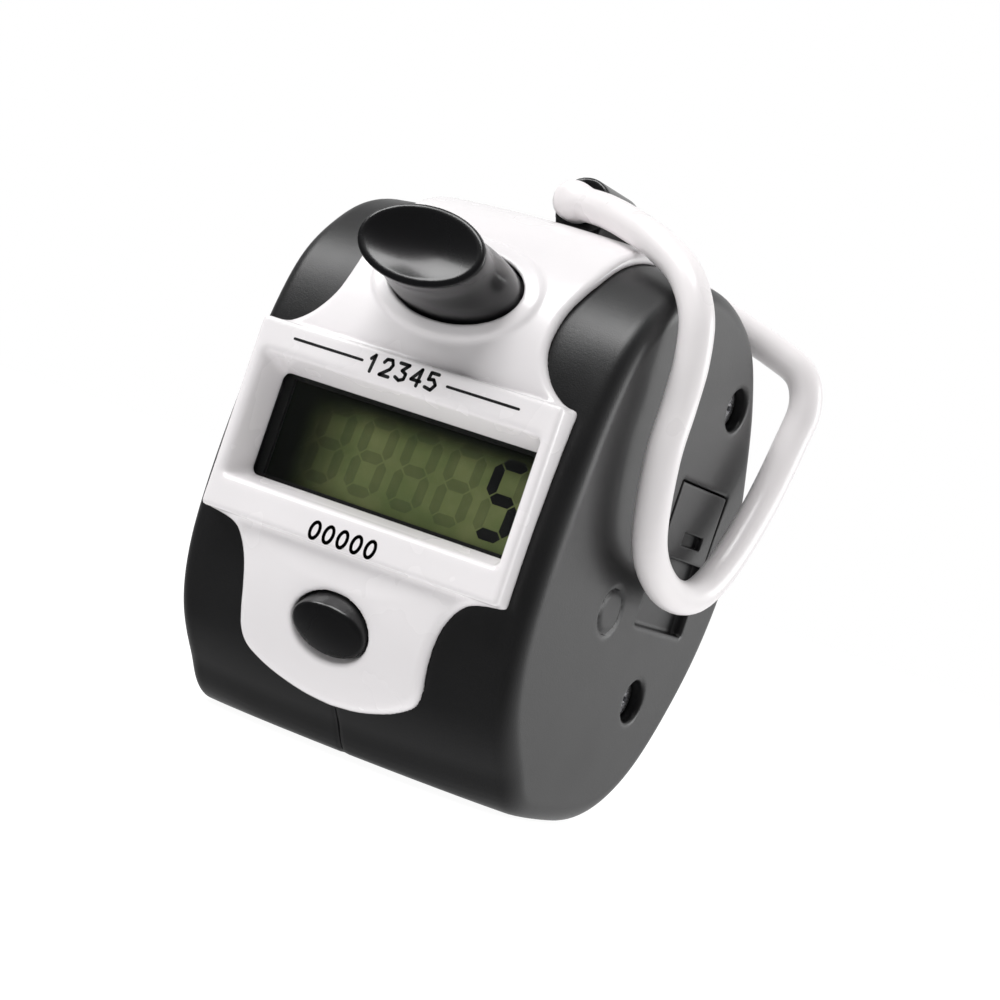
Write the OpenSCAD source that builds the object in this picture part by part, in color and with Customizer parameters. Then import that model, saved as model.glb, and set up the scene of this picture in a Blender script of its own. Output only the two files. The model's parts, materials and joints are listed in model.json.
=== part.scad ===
// Digital hand tally counter with a thumb button and a hinged finger ring.
// X runs to the right, Y to the back (the display faces -Y) and Z up.
// The origin lies on the flat base, in the seam plane.

/* [Casing] */
// Width of the casing across its two flat side faces
case_w = 40.5; // [39:0.5:42]
// Wall thickness of the two casing shells
wall = 1.8; // [1.5:0.1:2.0]
// Radius of the long edges around the side faces
edge_r = 2.2; // [1.6:0.1:2.6]
// How far the casing bulges at the seam
crown = 0.9; // [0.5:0.1:1.0]

/* [Face plate] */
// Thickness of the white plate on top of the casing
plate_t = 1.2; // [0.9:0.1:1.3]
// Width of the raised bezel around the display
bezel_w = 35.3; // [34:0.1:36]

/* [Buttons] */
// Upward lean of the count button's axis, in degrees
count_lean = 11; // [9:1:13]
// Travel of the count button
count_travel = 2.0; // [1:0.1:2.2]
// Downward lean of the reset button's axis, in degrees
reset_lean = 40; // [37:1:43]
// Travel of the reset button
reset_travel = 0.8; // [0.5:0.1:1.0]

/* [Finger ring] */
// Diameter of the ring's round bar
ring_d = 3.6; // [3.4:0.1:3.8]
// Diameter of the pivot barrel between the ring's ends
barrel_d = 6.4; // [6:0.1:6.6]

/* [Battery door] */
// Travel of the sliding battery door
door_travel = 7.6; // [6:0.1:7.8]

/* [Hidden] */
eps = 0.01;
gap = 0.05;                 // clearance between parts that are assembled face to face
flat_x = case_w/2 - edge_r; // where the edge rounding starts

black = [0.06, 0.06, 0.065];
white = [0.93, 0.92, 0.92];
steel = [0.72, 0.72, 0.74];
board_green = [0.08, 0.32, 0.16];
silicone = [0.55, 0.56, 0.58];
gold = [0.8, 0.65, 0.3];

// ---------------------------------------------------------------- casing outline

// Side profile as [Y, Z] knots, counter-clockwise from the front end of the flat base
knots = [[-6, -0.1], [5, -0.1], [12, 1.8], [17.5, 6], [21.6, 12.2], [24.8, 20], [26, 28], [25, 35],
    [22, 41.5], [17.8, 48.3], [12.5, 53.7], [6, 56.3], [-0.5, 56.8], [-6.5, 55.5], [-11.2, 52.6],
    [-15.4, 47.8], [-17.6, 41], [-18.6, 32], [-18.9, 22.5], [-18.2, 15], [-15.8, 8.9], [-11.3, 3.9]];
per_span = 4; // curve points from one knot to the next

function wrap(list, i) = list[(i + len(list)) % len(list)];
function spline(a, b, c, d, t) =
    0.5 * (2*b + (c - a)*t + (2*a - 5*b + 4*c - d)*t*t + (3*b - a - 3*c + d)*t*t*t);
outline = [for (i = [0 : len(knots) - 1]) for (j = [0 : per_span - 1])
    spline(wrap(knots, i - 1), knots[i], wrap(knots, i + 1), wrap(knots, i + 2), j/per_span)];

function normal_at(i) = let (step = wrap(outline, i + 1) - wrap(outline, i - 1))
    [step[1], -step[0]] / norm(step);
// The outline's point i moved inwards by depth
function inset_point(i, depth) = wrap(outline, i) - depth*normal_at(i);
function bulge(x) = crown*(1 - pow(min(abs(x), flat_x)/flat_x, 2));

// Solid through a list of [x, inset] stations, each one an inset copy of the outline
module loft(stations) {
    n = len(outline);
    last = len(stations) - 1;
    points = [for (s = stations) for (i = [0 : n - 1])
        let (p = inset_point(i, s[1])) [s[0], p[0], p[1]]];
    faces = concat(
        [[for (i = [0 : n - 1]) n - 1 - i]],
        [[for (i = [0 : n - 1]) last*n + i]],
        [for (k = [0 : last - 1]) for (i = [0 : n - 1]) [k*n + i, k*n + (i + 1) % n, (k + 1)*n + i]],
        [for (k = [0 : last - 1]) for (i = [0 : n - 1])
            [k*n + (i + 1) % n, (k + 1)*n + (i + 1) % n, (k + 1)*n + i]]);
    polyhedron(points, [for (f = faces) [for (i = [len(f) - 1 : -1 : 0]) f[i]]]);
}

// Half of the casing's outer form, from the seam to the right side face
module outer_half() {
    loft(concat(
        [for (x = [gap/2, flat_x/3, flat_x*2/3, flat_x]) [x, -bulge(x)]],
        [for (a = [22.5 : 22.5 : 90]) [flat_x + edge_r*sin(a), edge_r*(1 - cos(a))]]));
}

// Everything under the flat base, which is cut away from both shells
module under_base() { box([-case_w, -30, -5], [case_w, 30, 0]); }

// The hollow inside that half
module inner_half() {
    loft([[-1, wall], [flat_x - 1, wall], [case_w/2 - wall, wall + 1.2]]);
}

module box(low, high) {
    translate(low) cube(high - low);
}

// ---------------------------------------------------------------- buttons' places

count_at = [0, -17.2, 48.4];
reset_at = [0, -19.6, 11.9];
// Local frame of each button: +Z points out of the casing, along the button's axis
module on_count_axis() { translate(count_at) rotate([90 - count_lean, 0, 0]) children(); }
module on_reset_axis() { translate(reset_at) rotate([90 + reset_lean, 0, 0]) children(); }

module oval(width, height) {
    steps = 48;
    polygon([for (i = [0 : steps - 1]) [width/2*cos(360*i/steps), height/2*sin(360*i/steps)]]);
}

count_w = 14.6;
count_h = 8.6;
count_top = 9.8;    // from the plate to the thumb face
count_stop = -6.8;  // underside of the count guide, where the button's flange rests
count_board_z = -14;
count_dome_h = 1.9 + count_travel;  // the contact dome, which the travel flattens
reset_w = 8.8;
reset_h = 6.3;
reset_stop = -3.4;
reset_board_z = -8;
reset_dome_h = 2 + reset_travel;
stem_gap = 0.2;     // from a dome's top to the button's stem
run = 0.2;          // clearance around a button in its guide
guide_t = 1.1;      // wall of a button's guide
count_post_x = 9.7;
reset_post_x = 7.1;
post_r = 1.3;
pad_w = 18.8;       // oval pad raised on the plate around the count button
pad_height = 12.4;
pad_rise = 0.5;

// ---------------------------------------------------------------- display

bezel_y = -21.5;
bezel_z = [19.6, 39.7];
inner_w = 33.6;          // the part of the bezel that reaches into the casing
inner_z = [20.7, 38.5];
inner_back = -17.2;
window_out = [32.8, 23.1, 36.5];  // width, low and high edge at the front of the recess
window_in = [30.6, 24.2, 34.7];   // the same at its bottom
board_y = -12.6;
board_t = 1.2;
board_screw_at = [[-14.6, 21.8], [14.6, 21.8], [-14.6, 37.4], [14.6, 37.4]];

// Half width of the face plate at a height: tongue, bezel, then the neck that widens at the top
plate_half_widths = [[4.65, 1.2], [4.9, 3.2], [5.7, 6.4], [6.6, 8.6], [7.1, 9.5], [7.8, 10.2], [9, 10.8],
    [10.8, 11], [13.2, 11.2], [15.6, 11.7], [17.6, 12.7], [18.9, 14.2], [19.6, 17.5],
    [39.7, 17.5], [40.2, 15.8], [41.8, 13.8], [44.4, 12.3], [47.5, 11.9], [50.1, 12.1], [52.5, 12.4],
    [55, 12.5], [60, 12.5]];
plate_top_y = -0.5; // the plate ends here, over the top of the casing

// The plate's shape seen from the front, long enough to cut the whole casing
module plate_front() {
    count = len(plate_half_widths);
    translate([0, plate_top_y, 0]) rotate([90, 0, 0]) linear_extrude(40) polygon(concat(
        [for (p = plate_half_widths) [p[1], p[0]]],
        [for (k = [1 : count]) let (p = plate_half_widths[count - k]) [-p[1], p[0]]]));
}

// The crowned outer form of both halves, grown by some depth
module full_form(growth) {
    loft([for (k = [-3 : 3]) let (x = k*flat_x/3) [x, -bulge(x) - growth]]);
}

module plate_skin() difference() {
    union() {
        intersection() {
            full_form(gap + plate_t);
            plate_front();
        }
        intersection() {
            full_form(gap + plate_t + pad_rise);
            on_count_axis() translate([0, 0, -6]) linear_extrude(12) oval(pad_w, pad_height);
        }
    }
    full_form(gap);
}

// The outline grown by some depth, as a bar across the whole width
module outline_bar(growth) {
    translate([-case_w/2, 0, 0]) rotate([90, 0, 90]) linear_extrude(case_w)
        polygon([for (i = [0 : len(outline) - 1]) inset_point(i, -growth)]);
}

// Raised block around the display, its back sloping along the casing's front
module bezel_block() {
    translate([-bezel_w/2, 0, 0]) rotate([90, 0, 90]) linear_extrude(bezel_w)
        polygon([[bezel_y, bezel_z[0]], [-19.3, bezel_z[0]], [-19.3, 28], [-18.75, 34], [-18.2, bezel_z[1]],
            [bezel_y, bezel_z[1]]]);
    box([-inner_w/2, bezel_y + 0.5, inner_z[0]], [inner_w/2, inner_back, inner_z[1]]);
}

// Guides and posts behind the plate, for both buttons and their boards
module button_seats() {
    on_count_axis() {
        translate([0, 0, count_stop]) linear_extrude(12)
            oval(count_w + 2*run + 2*guide_t, count_h + 2*run + 2*guide_t);
        for (side = [-1, 1]) translate([side*count_post_x, 0, count_board_z])
            cylinder(r = post_r, h = 16, $fn = 32);
    }
    on_reset_axis() {
        translate([0, 0, reset_stop]) linear_extrude(6)
            oval(reset_w + 2*run + 2*guide_t, reset_h + 2*run + 2*guide_t);
        for (side = [-1, 1]) translate([side*reset_post_x, 0, reset_board_z])
            cylinder(r = post_r, h = 12, $fn = 32);
    }
}

module window_taper() {
    hull() {
        box([-window_out[0]/2, bezel_y - eps, window_out[1]], [window_out[0]/2, bezel_y, window_out[2]]);
        box([-window_in[0]/2, inner_back, window_in[1]], [window_in[0]/2, inner_back + 0.1, window_in[2]]);
    }
}

module face_plate() color(white) difference() {
    union() {
        plate_skin();
        bezel_block();
        intersection() {
            outline_bar(crown + 0.5);
            button_seats();
        }
    }
    window_taper();
    on_count_axis() {
        translate([0, 0, count_stop - 1]) linear_extrude(20) oval(count_w + 2*run, count_h + 2*run);
        for (side = [-1, 1]) translate([side*count_post_x, 0, count_board_z - 1])
            cylinder(r = 0.65, h = 7, $fn = 32);
    }
    on_reset_axis() {
        translate([0, 0, reset_stop - 1]) linear_extrude(10) oval(reset_w + 2*run, reset_h + 2*run);
        for (side = [-1, 1]) translate([side*reset_post_x, 0, reset_board_z - 1])
            cylinder(r = 0.65, h = 5, $fn = 32);
    }
    for (p = board_screw_at) translate([p[0], inner_back + 1, p[1]]) rotate([90, 0, 0])
        cylinder(r = 0.65, h = 4, $fn = 32);
}

module display_lens() color([0.8, 0.85, 0.82, 0.4])
    box([-15.8, -17.1, 23], [15.8, -16.3, 36.3]);

module lcd_panel() color([0.35, 0.4, 0.2])
    box([-15.5, -15.7, 23], [15.5, -13.7, 36.3]);

module lcd_reflector() color([0.7, 0.7, 0.68])
    box([-14.5, -13.65, 25.2], [14.5, -13.35, 34.2]);

module display_frame() color(black) difference() {
    box([-16.2, inner_back + gap, 20.8], [16.2, board_y - gap, 38.4]);
    box([-15.9, -18, 22.9], [15.9, -16.25, 36.4]);
    box([-14.9, -18, 24.4], [14.9, -12, 34.5]);
    box([-15.6, -15.75, 22.9], [15.6, -12, 36.4]);
    for (p = board_screw_at) translate([p[0], -12, p[1]]) rotate([90, 0, 0])
        cylinder(r = 0.65, h = 6, $fn = 32);
}

module zebra_strips() color([0.35, 0.35, 0.38])
    for (z = [23.1, 34.6]) box([-14.5, -13.65, z], [14.5, board_y - gap, z + 1.7]);

module main_board() color(board_green) difference() {
    box([-15.6, board_y, 19.7], [15.6, board_y + board_t, 40.3]);
    for (p = board_screw_at) translate([p[0], board_y + 2, p[1]]) rotate([90, 0, 0])
        cylinder(r = 0.7, h = 4, $fn = 32);
}

module chip_cover() color(black)
    translate([0, board_y + board_t + gap, 30]) rotate([-90, 0, 0]) rotate_extrude($fn = 48)
        intersection() {
            translate([0, -4.2]) circle(r = 5.6, $fn = 64);
            square([3.6, 1.4]);
        }

module board_components() color([0.25, 0.22, 0.2]) {
    y0 = board_y + board_t + gap;
    translate([-9, y0, 34]) rotate([-90, 0, 0]) cylinder(r = 2, h = 4.5, $fn = 40);
    for (x = [6, 9]) for (z = [24.5, 27.5]) box([x, y0, z], [x + 1.6, y0 + 0.6, z + 0.9]);
    box([-12, y0, 24], [-9.2, y0 + 1, 27]);
}

module board_screws() color(steel)
    for (p = board_screw_at) translate([p[0], board_y + board_t + gap, p[1]]) rotate([-90, 0, 0]) difference() {
        union() {
            translate([0, 0, -8]) cylinder(r = 0.6, h = 8.2, $fn = 32);
            cylinder(r = 1.1, h = 0.8, $fn = 32);
        }
        translate([0, 0, 0.65]) cube([1.4, 0.3, 0.5], center = true);
        translate([0, 0, 0.65]) cube([0.3, 1.4, 0.5], center = true);
    }

// ---------------------------------------------------------------- count button

module count_button() color(black) on_count_axis() {
    dish_r = 14;
    difference() {
        union() {
            translate([0, 0, count_stop - 0.05]) linear_extrude(count_top - count_stop) oval(count_w, count_h);
            translate([0, 0, count_stop - 1.05]) linear_extrude(1) oval(count_w + 1.8, count_h + 1.8);
            stem_end = count_board_z + count_dome_h + stem_gap;
            translate([0, 0, stem_end]) cylinder(r = 1.5, h = count_stop - 0.5 - stem_end, $fn = 40);
        }
        translate([0, 0, count_top + dish_r - 0.9]) sphere(r = dish_r, $fn = 96);
    }
}

module count_spring() color(steel) on_count_axis() {
    turns = 5;
    steps = 14;
    sides = 8;
    coil_r = 2.9;
    wire_r = 0.25;
    low = count_board_z + wire_r + 0.1;
    high = count_stop - 1.05 - wire_r - 0.1;
    n = turns*steps;
    points = [for (i = [0 : n]) let (a = 360*i/steps, z = low + (high - low)*i/n)
        for (j = [0 : sides - 1]) let (b = 360*j/sides, r = coil_r + wire_r*cos(b))
            [r*cos(a), r*sin(a), z + wire_r*sin(b)]];
    faces = concat(
        [[for (j = [0 : sides - 1]) j]],
        [[for (j = [0 : sides - 1]) n*sides + sides - 1 - j]],
        [for (i = [0 : n - 1]) for (j = [0 : sides - 1])
            [i*sides + j, (i + 1)*sides + j, i*sides + (j + 1) % sides]],
        [for (i = [0 : n - 1]) for (j = [0 : sides - 1])
            [i*sides + (j + 1) % sides, (i + 1)*sides + j, (i + 1)*sides + (j + 1) % sides]]);
    polyhedron(points, faces);
}

// Hollow contact dome that stands on a board
module dome(base_r, top_r, height) {
    rotate_extrude($fn = 48) difference() {
        polygon([[0, 0], [base_r, 0], [base_r, 0.5], [top_r, height - 0.8], [top_r, height], [0, height]]);
        polygon([[-eps, -eps], [base_r - 0.6, -eps], [top_r - 0.5, height - 1.2], [-eps, height - 1.2]]);
    }
}

module count_dome() color(silicone) on_count_axis()
    translate([0, 0, count_board_z + gap]) dome(2.4, 1.6, count_dome_h);

// Small switch board screwed to two posts
module switch_board(z, half_w, half_h, post_x) {
    difference() {
        translate([-half_w, -half_h, z - 1]) cube([2*half_w, 2*half_h, 1 - gap]);
        for (side = [-1, 1]) translate([side*post_x, 0, z - 2]) cylinder(r = 0.7, h = 3, $fn = 32);
    }
}

module count_board() color(board_green) on_count_axis()
    switch_board(count_board_z, count_post_x + 1.8, 4.5, count_post_x);

module switch_screw(z) {
    difference() {
        union() {
            translate([0, 0, z - 1.8]) cylinder(r = 1.2, h = 0.75, $fn = 32);
            translate([0, 0, z - 1.2]) cylinder(r = 0.6, h = 4.5, $fn = 32);
        }
        translate([0, 0, z - 1.8]) cube([1.6, 0.3, 0.6], center = true);
        translate([0, 0, z - 1.8]) cube([0.3, 1.6, 0.6], center = true);
    }
}

module switch_board_screws() color(steel) {
    for (side = [-1, 1]) on_count_axis() translate([side*count_post_x, 0, 0]) switch_screw(count_board_z);
    for (side = [-1, 1]) on_reset_axis() translate([side*reset_post_x, 0, 0]) switch_screw(reset_board_z);
}

// ---------------------------------------------------------------- reset button

module reset_button() color(black) on_reset_axis() {
    proud = 0.6;
    dome_r = 18;
    translate([0, 0, reset_stop - 0.05]) intersection() {
        linear_extrude(proud - reset_stop + 0.05) oval(reset_w, reset_h);
        translate([0, 0, proud - reset_stop - dome_r]) sphere(r = dome_r, $fn = 96);
    }
    translate([0, 0, reset_stop - 0.85]) linear_extrude(0.85 - gap/2) oval(reset_w + 1.4, reset_h + 1.4);
    stem_end = reset_board_z + reset_dome_h + stem_gap;
    translate([0, 0, stem_end]) cylinder(r = 1.3, h = reset_stop - 0.5 - stem_end, $fn = 40);
}

module reset_dome() color(silicone) on_reset_axis()
    translate([0, 0, reset_board_z + gap]) dome(3, 1.6, reset_dome_h);

module reset_board() color(board_green) on_reset_axis()
    switch_board(reset_board_z, reset_post_x + 1.8, 3.4, reset_post_x);

// ---------------------------------------------------------------- finger ring and its pivot

pivot_z = 61.8;
barrel_y = [3, 11.8];
ring_mid_y = (barrel_y[0] + barrel_y[1])/2;
ring_x = 23.4;        // plane of the loop, beside the right side face
pin_r = 1.2;
pin_len = 2.8;
// Route of the ring from its front end, down its front arm, round the loop and back: [X, Y, Z].
// The first and the last knot only set the ends' direction.
ring_knots = [[-5, 2.5, 62.1], [0, 1.1, 61.8], [5, -1.4, 61.4], [10, -4.3, 60.3], [15, -7.1, 58.75], [19.6, -9.2, 56.4],
    [22.5, -10, 52.8], [ring_x, -9.6, 48.5], [ring_x, -9, 44], [ring_x, -8.6, 38], [ring_x, -5.2, 30.2],
    [ring_x, 1.5, 26.5], [ring_x, 9, 26.3], [ring_x, 14.2, 29.7], [ring_x, 19, 37.3], [ring_x, 21.8, 45.5],
    [ring_x, 22.4, 49.8], [21.9, 22, 52.9], [18.5, 21, 54.4], [14, 19.3, 55.8], [9, 17.3, 57.6], [4, 15.2, 60.6],
    [0, 13.7, 61.8], [-5, 12.3, 62.1]];
ring_route = concat([for (i = [1 : len(ring_knots) - 3]) for (t = [0 : 0.25 : 0.75])
        spline(ring_knots[i - 1], ring_knots[i], ring_knots[i + 1], ring_knots[i + 2], t)],
    [ring_knots[len(ring_knots) - 2]]);

function unit(v) = v/norm(v);
// Tube of radius r along a route, its sides kept square to a fixed side direction
module tube(route, r, sides, side_axis) {
    n = len(route);
    points = [for (i = [0 : n - 1])
        let (along = unit(route[min(i + 1, n - 1)] - route[max(i - 1, 0)]),
            u = unit(cross(along, side_axis)), v = cross(along, u))
        for (j = [0 : sides - 1]) let (b = 360*j/sides) route[i] + r*(cos(b)*u + sin(b)*v)];
    faces = concat(
        [[for (j = [0 : sides - 1]) sides - 1 - j]],
        [[for (j = [0 : sides - 1]) (n - 1)*sides + j]],
        [for (i = [0 : n - 2]) for (j = [0 : sides - 1])
            [i*sides + j, i*sides + (j + 1) % sides, (i + 1)*sides + j]],
        [for (i = [0 : n - 2]) for (j = [0 : sides - 1])
            [i*sides + (j + 1) % sides, (i + 1)*sides + (j + 1) % sides, (i + 1)*sides + j]]);
    polyhedron(points, [for (f = faces) [for (k = [len(f) - 1 : -1 : 0]) f[k]]]);
}

module finger_ring() color(white) {
    tube(ring_route, ring_d/2, 12, [1, 0, 0.35]);
    for (end = [0, 1]) translate([0, ring_mid_y, pivot_z]) mirror([0, end, 0])
        translate([0, barrel_y[0] - ring_mid_y, 0]) rotate([90, 0, 0]) {
            translate([0, 0, gap + 0.05]) cylinder(r = ring_d/2 + 0.3, h = 3.4, $fn = 48);
            translate([0, 0, -pin_len]) cylinder(r = pin_r, h = pin_len + 1, $fn = 40);
        }
}

module ring_pivot_block() color(black) difference() {
    union() {
        translate([0, barrel_y[1], pivot_z]) rotate([90, 0, 0])
            cylinder(d = barrel_d, h = barrel_y[1] - barrel_y[0], $fn = 64);
        box([-2.6, barrel_y[0] + 0.4, 53.2], [2.6, barrel_y[1] - 0.4, pivot_z]);
        box([-4.4, barrel_y[0] - 0.6, 51.2], [4.4, barrel_y[1] + 0.6, 53.2]);
    }
    for (end = [barrel_y[0] - 1, barrel_y[1] - pin_len - 0.4])
        translate([0, end, pivot_z]) rotate([-90, 0, 0]) cylinder(r = pin_r + 0.06, h = pin_len + 1.4, $fn = 40);
}

// ---------------------------------------------------------------- battery bay and door

door_y = [5.2, 17.6];
door_z = [29.6, 37.6];
door_t = 1.1;
rail = 0.5;              // tongues along the door's two upright edges
bay_wall_x = 15.6;       // inner face of the thick wall around the door
cell_r = 5.8;
cell_h = 5.4;
cell_at = [9.6, 11.4, 31];
case_screw_at = [[12.5, 46.5], [11, 14]];

// Opening, track and rail grooves that the right shell has for the door
module door_track() {
    low = door_z[0] - door_travel - 0.1;
    box([case_w/2 - door_t - 0.15, door_y[0], low], [case_w/2 + 1, door_y[1], door_z[1]]);
    box([case_w/2 - door_t - 0.15, door_y[0] - rail, low], [case_w/2 - 0.5, door_y[1] + rail, door_z[1]]);
    box([bay_wall_x - 1, cell_at[1] - cell_r - 0.2, cell_at[2] - 0.3],
        [case_w/2, cell_at[1] + cell_r + 0.2, cell_at[2] + cell_h + 0.3]);
}

module battery_door() color(black) difference() {
    union() {
        box([case_w/2 - door_t, door_y[0] + 0.12, door_z[0]], [case_w/2, door_y[1] - 0.12, door_z[1] - 0.12]);
        box([case_w/2 - door_t, door_y[0] - rail + 0.12, door_z[0]],
            [case_w/2 - 0.62, door_y[1] + rail - 0.12, door_z[1] - 0.12]);
    }
    box([case_w/2 - 0.6, 9.8, 31.2], [case_w/2 + 1, 14.8, 32.6]);
}

module battery_tray() color(black) difference() {
    low = cell_at - [cell_r + 0.9, cell_r + 1, 1.5];
    high = [bay_wall_x - gap, cell_at[1] + cell_r + 1, cell_at[2] + cell_h + 1.5];
    box(low, high);
    box(low + [0.8, 0.8, 0.8], high + [1, -0.8, -0.8]);
}

module button_cell() color([0.75, 0.75, 0.76]) translate(cell_at) {
    cylinder(r = cell_r - 0.9, h = 0.5, $fn = 64);
    translate([0, 0, 0.4]) cylinder(r = cell_r, h = cell_h - 0.4, $fn = 64);
}

module battery_contacts() color(gold) {
    for (z = [cell_at[2] - 0.45, cell_at[2] + cell_h + 0.15])
        difference() {
            box([cell_at[0] - 5.6, cell_at[1] - 2.5, z], [cell_at[0] + 4.5, cell_at[1] + 2.5, z + 0.3]);
            box([cell_at[0] - 2.5, cell_at[1] - 1, z - 1], [cell_at[0] + 2.5, cell_at[1] + 1, z + 1]);
        }
}

// Straight wire of radius 0.35 between two points
module wire(from, to) {
    step = to - from;
    translate(from) rotate([0, acos(step[2]/norm(step)), atan2(step[1], step[0])])
        cylinder(r = 0.35, h = norm(step), $fn = 16);
}

module link_wires() color([0.6, 0.08, 0.06]) {
    start_y = board_y + board_t + 0.6;
    for (x = [2.6, -2.6]) {
        wire([x, start_y, 38.6], [x, -4.36, 42.15]);
        wire([x, start_y, 20.8], [x, -11.2, 17.2]);
    }
    for (z = [30.6, 36.5]) wire([4.5, 4.1, z], [7, start_y, z]);
}

// ---------------------------------------------------------------- shells

boss_r = 2.9;
head_depth = 1.4;   // the screws' heads lie this far under the side face

module front_opening() {
    box([-inner_w/2 - 0.1, -30, inner_z[0] - 0.1], [inner_w/2 + 0.1, -10, inner_z[1] + 0.1]);
    box([-11.2, -30, inner_z[1] - 1], [11.2, -7, 60]);
    box([-8.7, -30, 7.6], [8.7, -9.5, inner_z[0] + 1]);
}

module pivot_socket() {
    box([-2.7, barrel_y[0] + 0.3, 50], [2.7, barrel_y[1] - 0.3, 60]);
    box([-4.5, barrel_y[0] - 0.7, 50], [4.5, barrel_y[1] + 0.7, 53.3]);
}

module right_shell() color(black) difference() {
    union() {
        difference() {
            outer_half();
            inner_half();
        }
        for (p = case_screw_at) translate([gap/2, p[0], p[1]]) rotate([0, 90, 0])
            cylinder(r = boss_r, h = case_w/2 - 1, $fn = 48);
        box([bay_wall_x, door_y[0] - 2, door_z[0] - door_travel - 1.5], [case_w/2 - 1, door_y[1] + 2, door_z[1] + 1.4]);
    }
    for (p = case_screw_at) translate([0, p[0], p[1]]) rotate([0, 90, 0]) {
        translate([0, 0, -1]) cylinder(r = 1.15, h = case_w, $fn = 40);
        translate([0, 0, case_w/2 - head_depth - 1.2]) cylinder(r = 2.3, h = case_w, $fn = 48);
    }
    front_opening();
    pivot_socket();
    door_track();
    under_base();
}

module left_shell() color(black) difference() {
    union() {
        mirror([1, 0, 0]) difference() {
            outer_half();
            inner_half();
        }
        for (p = case_screw_at) translate([-case_w/2 + 1, p[0], p[1]]) rotate([0, 90, 0])
            cylinder(r = boss_r, h = case_w/2 - 1 - gap/2, $fn = 48);
    }
    for (p = case_screw_at) translate([-10, p[0], p[1]]) rotate([0, 90, 0]) cylinder(r = 1.03, h = 12, $fn = 40);
    front_opening();
    pivot_socket();
    under_base();
}

module case_screws() color(steel) for (p = case_screw_at)
    translate([case_w/2 - head_depth - 1.2 + gap, p[0], p[1]]) rotate([0, 90, 0]) difference() {
        union() {
            cylinder(r = 2, h = 1.2, $fn = 48);
            translate([0, 0, -24]) cylinder(r = 1, h = 24.2, $fn = 40);
        }
        translate([0, 0, 1]) cube([2.6, 0.5, 0.8], center = true);
        translate([0, 0, 1]) cube([0.5, 2.6, 0.8], center = true);
    }

right_shell();
left_shell();
face_plate();
display_lens();
lcd_panel();
lcd_reflector();
display_frame();
zebra_strips();
main_board();
chip_cover();
board_components();
board_screws();
count_button();
count_spring();
count_dome();
count_board();
reset_button();
reset_dome();
reset_board();
switch_board_screws();
finger_ring();
ring_pivot_block();
battery_door();
battery_tray();
button_cell();
battery_contacts();
link_wires();
case_screws();
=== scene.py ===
"""Visual model of a digital hand tally counter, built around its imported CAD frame.

The moulded pieces are written as distance fields in millimetres, negative inside, and meshed on a grid.
X runs to the right, Y to the back and Z up, as in the CAD model.
"""
import json
import math

import bpy
import numpy as np
from mathutils import Matrix, Vector


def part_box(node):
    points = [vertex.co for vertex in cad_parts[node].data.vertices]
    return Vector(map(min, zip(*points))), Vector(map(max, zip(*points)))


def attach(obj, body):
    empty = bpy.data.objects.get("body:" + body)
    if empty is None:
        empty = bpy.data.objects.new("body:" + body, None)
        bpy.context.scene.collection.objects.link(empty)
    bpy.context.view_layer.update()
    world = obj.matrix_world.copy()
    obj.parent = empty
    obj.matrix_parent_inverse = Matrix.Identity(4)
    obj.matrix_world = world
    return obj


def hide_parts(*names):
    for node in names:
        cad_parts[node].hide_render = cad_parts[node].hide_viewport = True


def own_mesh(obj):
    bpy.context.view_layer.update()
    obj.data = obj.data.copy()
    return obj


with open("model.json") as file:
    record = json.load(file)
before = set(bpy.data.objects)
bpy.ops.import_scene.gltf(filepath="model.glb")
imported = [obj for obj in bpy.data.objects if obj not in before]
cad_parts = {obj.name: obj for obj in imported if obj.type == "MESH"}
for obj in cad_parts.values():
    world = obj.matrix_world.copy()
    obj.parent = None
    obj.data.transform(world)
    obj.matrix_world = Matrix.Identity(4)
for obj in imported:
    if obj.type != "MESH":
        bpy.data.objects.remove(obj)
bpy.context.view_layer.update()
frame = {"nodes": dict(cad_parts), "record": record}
MM = 0.001


# ---------------------------------------------------------------- distance fields

def round_both(a, b, radius):
    """Distance to what lies in both a and b, with the edge between them rounded."""
    outside = np.hypot(np.maximum(a + radius, 0), np.maximum(b + radius, 0))
    return np.minimum(np.maximum(a, b) + radius, 0) + outside - radius


def round_either(a, b, radius):
    """Distance to what lies in a or b, with a fillet where they meet."""
    return -round_both(-a, -b, radius)


def cut(a, b, radius):
    """Distance to a with b taken away."""
    return round_both(a, -b, radius)


def box_field(x, y, z, low, high, radius=0.0):
    q = [np.abs(p - (a + b) / 2) - (b - a) / 2 + radius for p, a, b in zip((x, y, z), low, high)]
    outside = np.sqrt(sum(np.maximum(d, 0) ** 2 for d in q))
    return outside + np.minimum(np.maximum(np.maximum(q[0], q[1]), q[2]), 0) - radius


def rectangle_field(u, v, low, high, radius=0.0):
    a = np.abs(u - (low[0] + high[0]) / 2) - (high[0] - low[0]) / 2
    b = np.abs(v - (low[1] + high[1]) / 2) - (high[1] - low[1]) / 2
    return round_both(a, b, radius)


def oval_field(u, v, width, height):
    a, b = width / 2, height / 2
    near = np.sqrt((u / a) ** 2 + (v / b) ** 2)
    slope = np.sqrt((u / a ** 2) ** 2 + (v / b ** 2) ** 2) + 1e-9
    return near * (near - 1) / slope


def polygon_field(points, u, v):
    """Signed distance to a closed polygon."""
    nearest = np.inf
    inside = False
    for a, b in zip(points, np.roll(points, -1, axis=0)):
        edge = b - a
        along = np.clip(((u - a[0]) * edge[0] + (v - a[1]) * edge[1]) / (edge @ edge), 0, 1)
        nearest = np.minimum(nearest, (u - a[0] - along * edge[0]) ** 2 + (v - a[1] - along * edge[1]) ** 2)
        if a[1] != b[1]:
            beyond = u < a[0] + edge[0] * (v - a[1]) / edge[1]
            inside = inside ^ (((a[1] > v) != (b[1] > v)) & beyond)
    return np.where(inside, -1, 1) * np.sqrt(nearest)


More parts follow.
